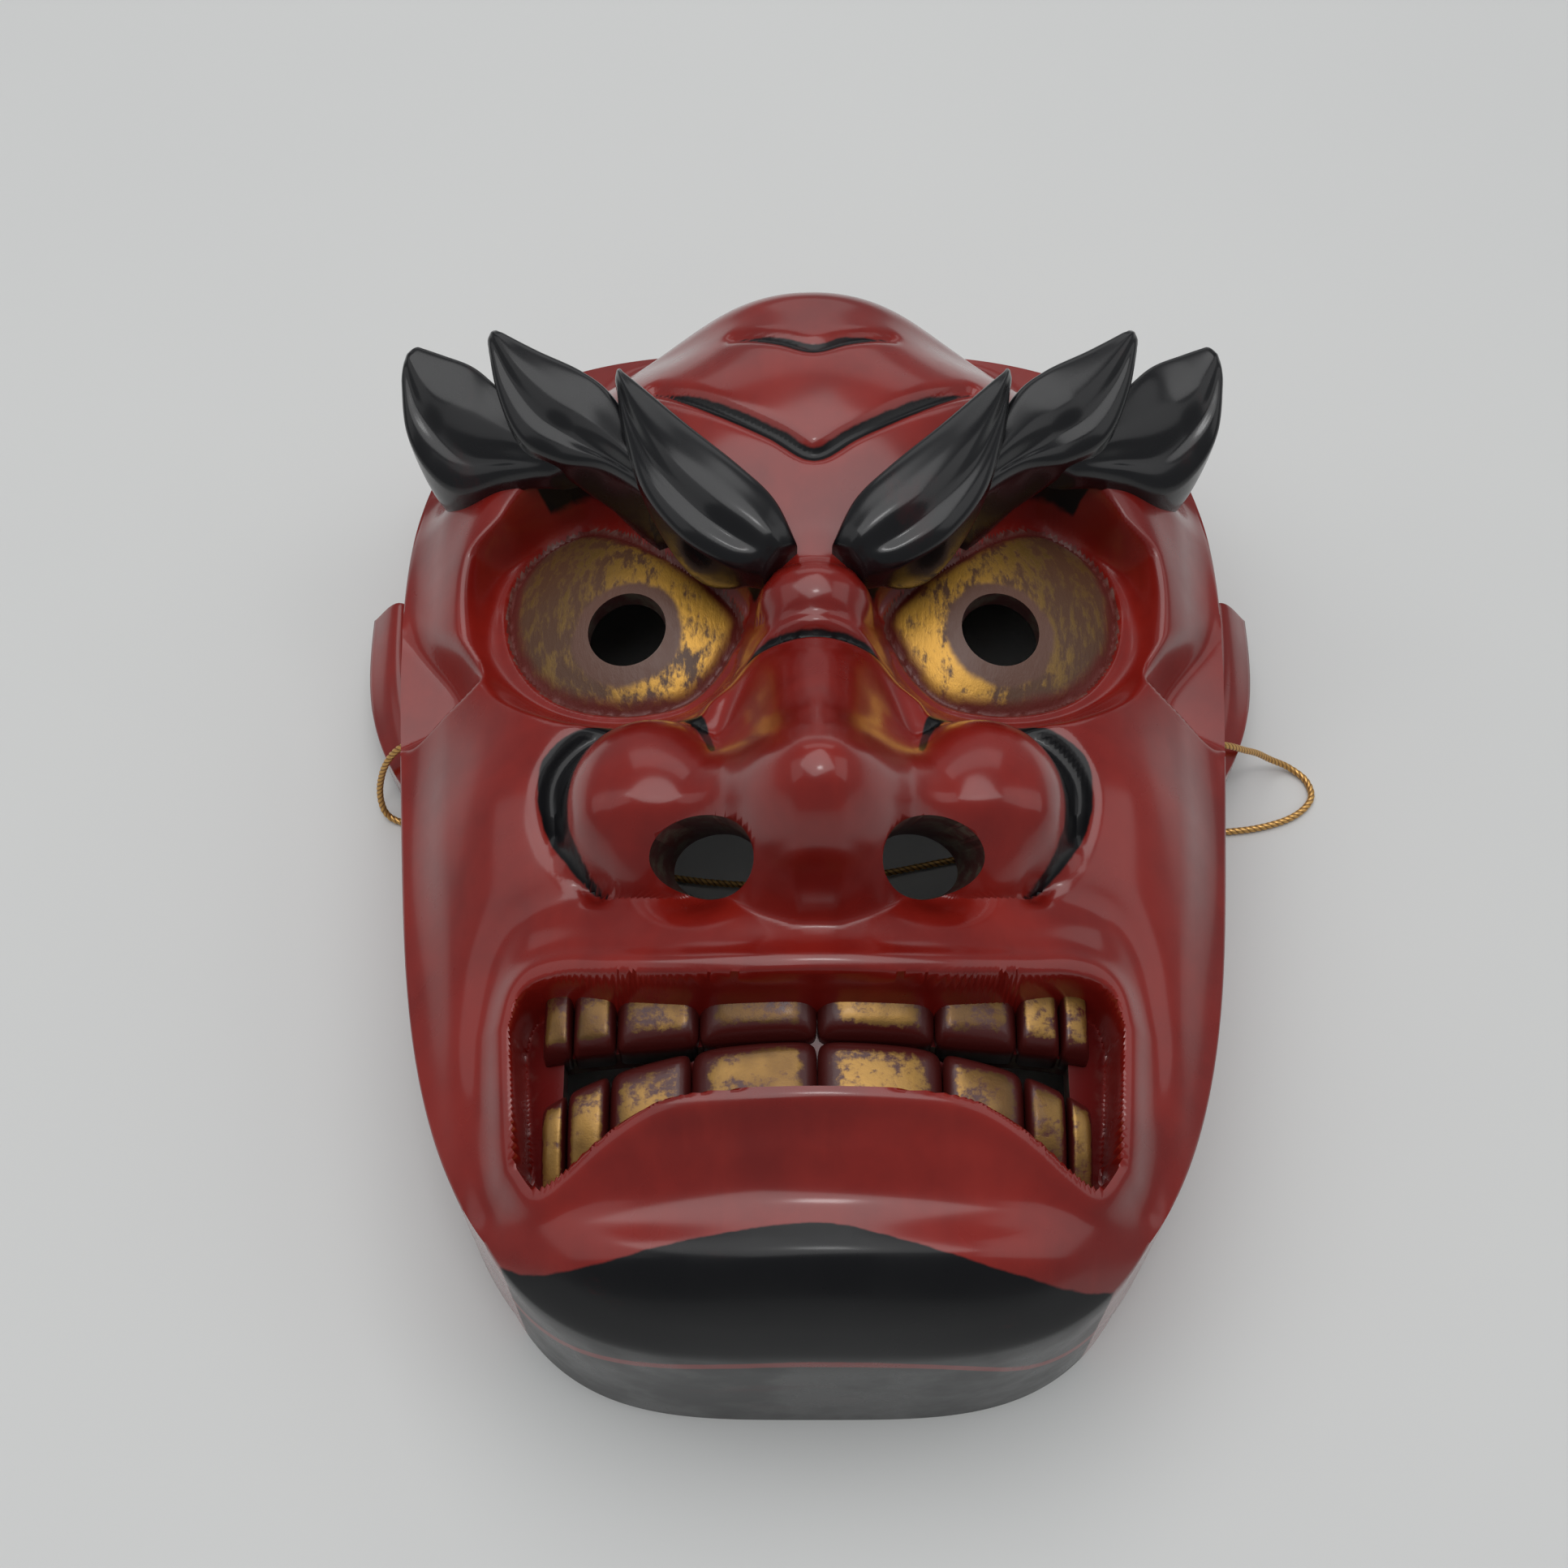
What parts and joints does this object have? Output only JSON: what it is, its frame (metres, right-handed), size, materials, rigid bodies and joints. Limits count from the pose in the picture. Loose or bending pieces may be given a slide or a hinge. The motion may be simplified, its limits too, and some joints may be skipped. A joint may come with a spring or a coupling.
{
  "type": "oni mask",
  "caption": "Carved wooden demon mask with bulging eyes, bared teeth and flame-shaped brows, open at the back, with a thin hanging cord.",
  "frame": {"origin": "centre of the mask's footprint, on the surface that its rim lies on, measured without the cord", "axes": "+Z out of the face, +Y towards the forehead, +X to the mask's own left ear"},
  "size_m": [0.2251, 0.2435, 0.1155],
  "materials": {
    "red_lacquer": "gloss lacquer over carved wood",
    "gold_cord": "twisted metallic thread"
  },
  "bodies": {
    "root": {"mask": "red_lacquer", "hanging_cord": "gold_cord", "cord_knot_left": "gold_cord", "cord_knot_right": "gold_cord"}
  },
  "joints": []
}
